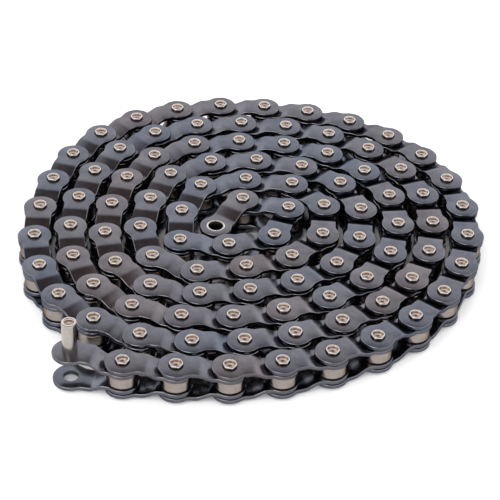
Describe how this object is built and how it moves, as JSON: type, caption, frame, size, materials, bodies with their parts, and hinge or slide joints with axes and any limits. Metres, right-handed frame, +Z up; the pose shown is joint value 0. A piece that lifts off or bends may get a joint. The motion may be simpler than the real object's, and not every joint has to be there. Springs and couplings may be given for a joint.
{
  "type": "half-link roller chain",
  "caption": "Half-link roller chain wound in a flat coil, its free end's joining pin standing ready to be pressed home.",
  "frame": {"origin": "centre of the bounding box in plan, on the ground plane under the pin heads", "axes": "+Z up along the chain pins; the free end lies at -X -Y and the coil winds counterclockwise inwards seen from +Z"},
  "size_m": [0.1208, 0.1216, 0.0189],
  "materials": {
    "plate_black": "black oxide, satin, with blue-grey and brown tones",
    "pin_nickel": "bright nickel",
    "bush_steel": "bright steel",
    "roller_nickel": "satin nickel"
  },
  "bodies": {
    "coil": {"strand_08_to_12": "plate_black", "strand_13_to_17": "plate_black", "strand_18_to_22": "plate_black", "strand_23_to_27": "plate_black", "strand_28_to_32": "plate_black", "strand_33_to_37": "plate_black", "strand_38_to_42": "plate_black", "strand_43_to_47": "plate_black", "strand_48_to_52": "plate_black", "strand_53_to_57": "plate_black", "strand_58_to_62": "plate_black", "strand_63_to_67": "plate_black", "strand_68_to_71": "plate_black", "strand_72_to_75": "plate_black", "strand_76_to_79": "plate_black", "strand_80_to_83": "plate_black", "strand_84_to_87": "plate_black", "strand_88_to_91": "plate_black", "strand_92_to_95": "plate_black", "strand_96_to_99": "plate_black"},
    "link_7": {"half_link_7_top_plate": "plate_black", "half_link_7_bottom_plate": "plate_black", "half_link_7_pin": "pin_nickel", "half_link_7_bush": "bush_steel"},
    "roller_7": {"half_link_7_roller": "roller_nickel"},
    "link_6": {"half_link_6_top_plate": "plate_black", "half_link_6_bottom_plate": "plate_black", "half_link_6_pin": "pin_nickel", "half_link_6_bush": "bush_steel"},
    "roller_6": {"half_link_6_roller": "roller_nickel"},
    "link_5": {"half_link_5_top_plate": "plate_black", "half_link_5_bottom_plate": "plate_black", "half_link_5_pin": "pin_nickel", "half_link_5_bush": "bush_steel"},
    "roller_5": {"half_link_5_roller": "roller_nickel"},
    "link_4": {"half_link_4_top_plate": "plate_black", "half_link_4_bottom_plate": "plate_black", "half_link_4_pin": "pin_nickel", "half_link_4_bush": "bush_steel"},
    "roller_4": {"half_link_4_roller": "roller_nickel"},
    "link_3": {"half_link_3_top_plate": "plate_black", "half_link_3_bottom_plate": "plate_black", "half_link_3_pin": "pin_nickel", "half_link_3_bush": "bush_steel"},
    "roller_3": {"half_link_3_roller": "roller_nickel"},
    "link_2": {"half_link_2_top_plate": "plate_black", "half_link_2_bottom_plate": "plate_black", "half_link_2_pin": "pin_nickel", "half_link_2_bush": "bush_steel"},
    "roller_2": {"half_link_2_roller": "roller_nickel"},
    "link_1": {"half_link_1_top_plate": "plate_black", "half_link_1_bottom_plate": "plate_black", "half_link_1_pin": "pin_nickel", "half_link_1_bush": "bush_steel"},
    "roller_1": {"half_link_1_roller": "roller_nickel"},
    "link_0": {"half_link_0_top_plate": "plate_black", "half_link_0_bottom_plate": "plate_black", "half_link_0_bush": "bush_steel"},
    "roller_0": {"half_link_0_roller": "roller_nickel"},
    "connecting_pin": {"connecting_pin": "pin_nickel"}
  },
  "joints": [
    {"name": "link_7_turn", "type": "hinge", "parent": "coil", "child": "link_7", "pos_m": [0.04877, -0.02403, 0.00502], "axis": [0, 0, 1], "range_deg": [0, 45]},
    {"name": "roller_7_spin", "type": "hinge", "parent": "link_7", "child": "roller_7", "pos_m": [0.04877, -0.02403, 0.00502], "axis": [0, 0, 1], "continuous": true},
    {"name": "link_6_turn", "type": "hinge", "parent": "link_7", "child": "link_6", "pos_m": [0.04114, -0.03418, 0.00502], "axis": [0, 0, 1], "range_deg": [0, 45]},
    {"name": "roller_6_spin", "type": "hinge", "parent": "link_6", "child": "roller_6", "pos_m": [0.04114, -0.03418, 0.00502], "axis": [0, 0, 1], "continuous": true},
    {"name": "link_5_turn", "type": "hinge", "parent": "link_6", "child": "link_5", "pos_m": [0.03154, -0.04249, 0.00502], "axis": [0, 0, 1], "range_deg": [0, 45]},
    {"name": "roller_5_spin", "type": "hinge", "parent": "link_5", "child": "roller_5", "pos_m": [0.03154, -0.04249, 0.00502], "axis": [0, 0, 1], "continuous": true},
    {"name": "link_4_turn", "type": "hinge", "parent": "link_5", "child": "link_4", "pos_m": [0.02052, -0.04881, 0.00502], "axis": [0, 0, 1], "range_deg": [0, 45]},
    {"name": "roller_4_spin", "type": "hinge", "parent": "link_4", "child": "roller_4", "pos_m": [0.02052, -0.04881, 0.00502], "axis": [0, 0, 1], "continuous": true},
    {"name": "link_3_turn", "type": "hinge", "parent": "link_4", "child": "link_3", "pos_m": [0.00862, -0.05324, 0.00502], "axis": [0, 0, 1], "range_deg": [0, 45]},
    {"name": "roller_3_spin", "type": "hinge", "parent": "link_3", "child": "roller_3", "pos_m": [0.00862, -0.05324, 0.00502], "axis": [0, 0, 1], "continuous": true},
    {"name": "link_2_turn", "type": "hinge", "parent": "link_3", "child": "link_2", "pos_m": [-0.00381, -0.05585, 0.00502], "axis": [0, 0, 1], "range_deg": [0, 45]},
    {"name": "roller_2_spin", "type": "hinge", "parent": "link_2", "child": "roller_2", "pos_m": [-0.00381, -0.05585, 0.00502], "axis": [0, 0, 1], "continuous": true},
    {"name": "link_1_turn", "type": "hinge", "parent": "link_2", "child": "link_1", "pos_m": [-0.0165, -0.05645, 0.00502], "axis": [0, 0, 1], "range_deg": [0, 45]},
    {"name": "roller_1_spin", "type": "hinge", "parent": "link_1", "child": "roller_1", "pos_m": [-0.0165, -0.05645, 0.00502], "axis": [0, 0, 1], "continuous": true},
    {"name": "link_0_turn", "type": "hinge", "parent": "link_1", "child": "link_0", "pos_m": [-0.02919, -0.05605, 0.00502], "axis": [0, 0, 1], "range_deg": [0, 45]},
    {"name": "roller_0_spin", "type": "hinge", "parent": "link_0", "child": "roller_0", "pos_m": [-0.02919, -0.05605, 0.00502], "axis": [0, 0, 1], "continuous": true},
    {"name": "connecting_pin_press", "type": "slide", "parent": "link_0", "child": "connecting_pin", "axis": [0, 0, -1], "range_m": [0, 0.00809]}
  ]
}
